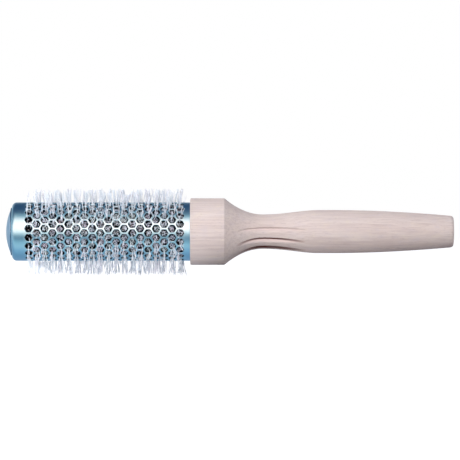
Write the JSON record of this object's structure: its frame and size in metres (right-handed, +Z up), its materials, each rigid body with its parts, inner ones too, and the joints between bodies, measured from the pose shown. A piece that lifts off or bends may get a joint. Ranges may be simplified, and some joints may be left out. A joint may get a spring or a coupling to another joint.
{
  "type": "round barrel hair brush",
  "caption": "Round blow-drying brush: turned wooden handle, perforated aluminium barrel with a domed cap, and fine bristles on a twisted wire core that stand out through the holes.",
  "frame": {"origin": "middle of the flat end of the handle", "axes": "+X along the brush's axis from the tip to the handle's end, +Z up, +Y away from the viewer of the picture"},
  "size_m": [0.2603, 0.051, 0.0509],
  "materials": {
    "wood": "pale beech, whitewashed and matt",
    "anodised_barrel": "anodised turquoise blue, glossy",
    "cap_plastic": "moulding with a satin metallic finish in the barrel's blue",
    "plug_plastic": "plain grey moulding",
    "core_wire": "galvanised wire",
    "nylon": "white nylon filament"
  },
  "bodies": {
    "root": {"handle": "wood", "barrel": "anodised_barrel", "tip_cap": "cap_plastic", "rear_plug": "plug_plastic", "wire_strand_1": "core_wire", "wire_strand_2": "core_wire", "bristles_1": "nylon", "bristles_2": "nylon", "bristles_3": "nylon", "bristles_4": "nylon"}
  },
  "joints": []
}
